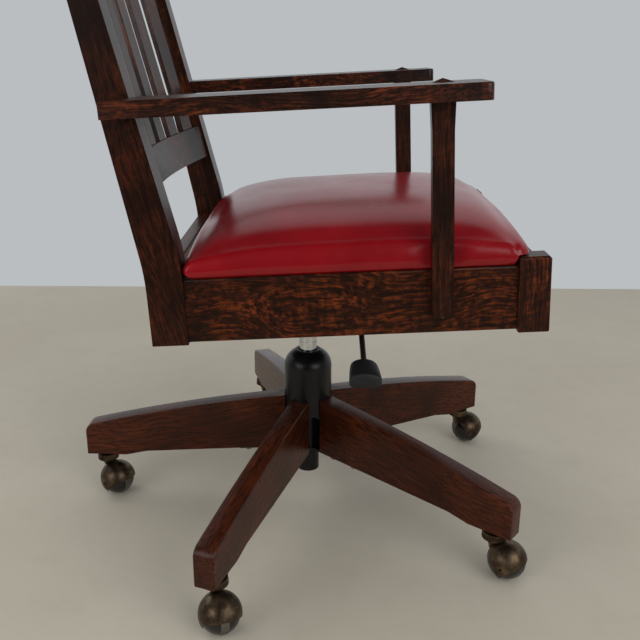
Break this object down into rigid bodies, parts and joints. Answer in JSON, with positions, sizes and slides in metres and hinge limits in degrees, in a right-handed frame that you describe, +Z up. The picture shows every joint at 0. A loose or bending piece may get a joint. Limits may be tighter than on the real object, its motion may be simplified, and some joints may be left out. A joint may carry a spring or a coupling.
{
  "type": "office chair",
  "caption": "Swivel desk armchair with slatted wooden back, flat wooden arms, leather cushion and a five-spoke wooden base on ball casters; height lever under the seat.",
  "frame": {"origin": "on the floor, on the axis of the column about which the seat swivels", "axes": "+Z up; the chair faces -Y, so +Y is to its back; +X is the sitter's left"},
  "size_m": [0.7225, 0.6952, 0.9526],
  "materials": {
    "oak": "satin",
    "hidden_wood": "matte",
    "base_wood": "gloss",
    "red_leather": "satin",
    "black_enamel": "satin",
    "chrome_tube": "polished",
    "steel": "satin",
    "lever_steel": "satin",
    "black_plastic": "matte",
    "aged_brass": "aged",
    "wheel_black": "gloss"
  },
  "bodies": {
    "base": {"hub_spider": "black_enamel", "hub_cover": "black_enamel", "guide_bush": "black_plastic", "base_hardware": "steel", "spoke_1": "base_wood", "spoke_2": "base_wood", "spoke_3": "base_wood", "spoke_4": "base_wood", "spoke_5": "base_wood"},
    "rod": {"piston_rod": "steel", "rod_hardware": "steel"},
    "lift": {"pressure_tube": "chrome_tube", "mechanism_housing": "black_enamel", "tilt_pin": "steel", "tension_spring": "steel"},
    "release_pin": {"release_pin": "steel"},
    "tension_knob": {"tension_knob": "black_plastic"},
    "lever": {"lever_rod": "lever_steel", "lever_paddle": "black_plastic"},
    "seat": {"seat_plate": "black_enamel", "seat_screws": "steel", "seat_cushion": "red_leather", "side_rail_left": "oak", "side_rail_right": "oak", "front_rail": "oak", "rear_rail": "oak", "front_block_left": "oak", "front_block_right": "oak", "rear_post_left": "oak", "rear_post_right": "oak", "lower_back_rail": "oak", "upper_back_rail": "oak", "arm_left": "oak", "arm_right": "oak", "arm_post_left": "oak", "arm_post_right": "oak", "back_slat_1": "oak", "back_slat_2": "oak", "back_slat_3": "oak", "back_slat_4": "oak", "back_slat_5": "oak", "back_slat_6": "oak", "back_slat_7": "oak", "frame_blocks": "hidden_wood", "seat_board": "hidden_wood"},
    "caster_1": {"caster_hood_1": "aged_brass", "caster_stem_1": "steel"},
    "wheel_1": {"caster_wheel_1": "wheel_black"},
    "caster_2": {"caster_hood_2": "aged_brass", "caster_stem_2": "steel"},
    "wheel_2": {"caster_wheel_2": "wheel_black"},
    "caster_3": {"caster_hood_3": "aged_brass", "caster_stem_3": "steel"},
    "wheel_3": {"caster_wheel_3": "wheel_black"},
    "caster_4": {"caster_hood_4": "aged_brass", "caster_stem_4": "steel"},
    "wheel_4": {"caster_wheel_4": "wheel_black"},
    "caster_5": {"caster_hood_5": "aged_brass", "caster_stem_5": "steel"},
    "wheel_5": {"caster_wheel_5": "wheel_black"}
  },
  "joints": [
    {"name": "seat_swivel", "type": "hinge", "parent": "base", "child": "rod", "pos_m": [0, 0, 0.06], "axis": [0, 0, 1], "continuous": true},
    {"name": "seat_lift", "type": "slide", "parent": "rod", "child": "lift", "axis": [0, 0, 1], "range_m": [-0.045, 0.055]},
    {"name": "seat_tilt", "type": "hinge", "parent": "lift", "child": "seat", "pos_m": [0, -0.03, 0.336], "axis": [-1, 0, 0], "range_deg": [0, 12], "stiffness_Nm_per_rad": 70, "springref_deg": -28.65, "deforming": ["tension_spring"]},
    {"name": "lever_lift", "type": "hinge", "parent": "lift", "child": "lever", "pos_m": [-0.04, -0.078, 0.3425], "axis": [0, 1, 0], "range_deg": [0, 5], "stiffness_Nm_per_rad": 1, "springref_deg": -11.46},
    {"name": "release_press", "type": "slide", "parent": "lift", "child": "release_pin", "axis": [0, 0, 1], "range_m": [-0.0036, 0]},
    {"name": "knob_turn", "type": "hinge", "parent": "lift", "child": "tension_knob", "pos_m": [0, 0.048, 0.308], "axis": [0, 0, 1], "range_deg": [-360, 360]},
    {"name": "caster_swivel_1", "type": "hinge", "parent": "base", "child": "caster_1", "pos_m": [-0.31783, 0.11443, 0.07], "axis": [0, 0, 1], "continuous": true},
    {"name": "wheel_spin_1", "type": "hinge", "parent": "caster_1", "child": "wheel_1", "pos_m": [-0.33704, 0.10698, 0.0272], "axis": [0.3616, -0.9323, 0], "continuous": true},
    {"name": "caster_swivel_2", "type": "hinge", "parent": "base", "child": "caster_2", "pos_m": [-0.20704, -0.26691, 0.07], "axis": [0, 0, 1], "continuous": true},
    {"name": "wheel_spin_2", "type": "hinge", "parent": "caster_2", "child": "wheel_2", "pos_m": [-0.21734, -0.28475, 0.0272], "axis": [0.866, -0.5, 0], "continuous": true},
    {"name": "caster_swivel_3", "type": "hinge", "parent": "base", "child": "caster_3", "pos_m": [0.18987, -0.27939, 0.07], "axis": [0, 0, 1], "continuous": true},
    {"name": "wheel_spin_3", "type": "hinge", "parent": "caster_3", "child": "wheel_3", "pos_m": [0.19735, -0.29858, 0.0272], "axis": [0.9317, 0.3633, 0], "continuous": true},
    {"name": "caster_swivel_4", "type": "hinge", "parent": "base", "child": "caster_4", "pos_m": [0.32439, 0.09424, 0.07], "axis": [0, 0, 1], "continuous": true},
    {"name": "wheel_spin_4", "type": "hinge", "parent": "caster_4", "child": "wheel_4", "pos_m": [0.32152, 0.07384, 0.0272], "axis": [0.9903, -0.1392, 0], "continuous": true},
    {"name": "caster_swivel_5", "type": "hinge", "parent": "base", "child": "caster_5", "pos_m": [0.01061, 0.33763, 0.07], "axis": [0, 0, 1], "continuous": true},
    {"name": "wheel_spin_5", "type": "hinge", "parent": "caster_5", "child": "wheel_5", "pos_m": [-0.00164, 0.32107, 0.0272], "axis": [0.8039, -0.5948, 0], "continuous": true}
  ],
  "couplings": [
    {"joint": "release_press", "follows": "lever_lift", "m_per_rad": -0.04}
  ]
}
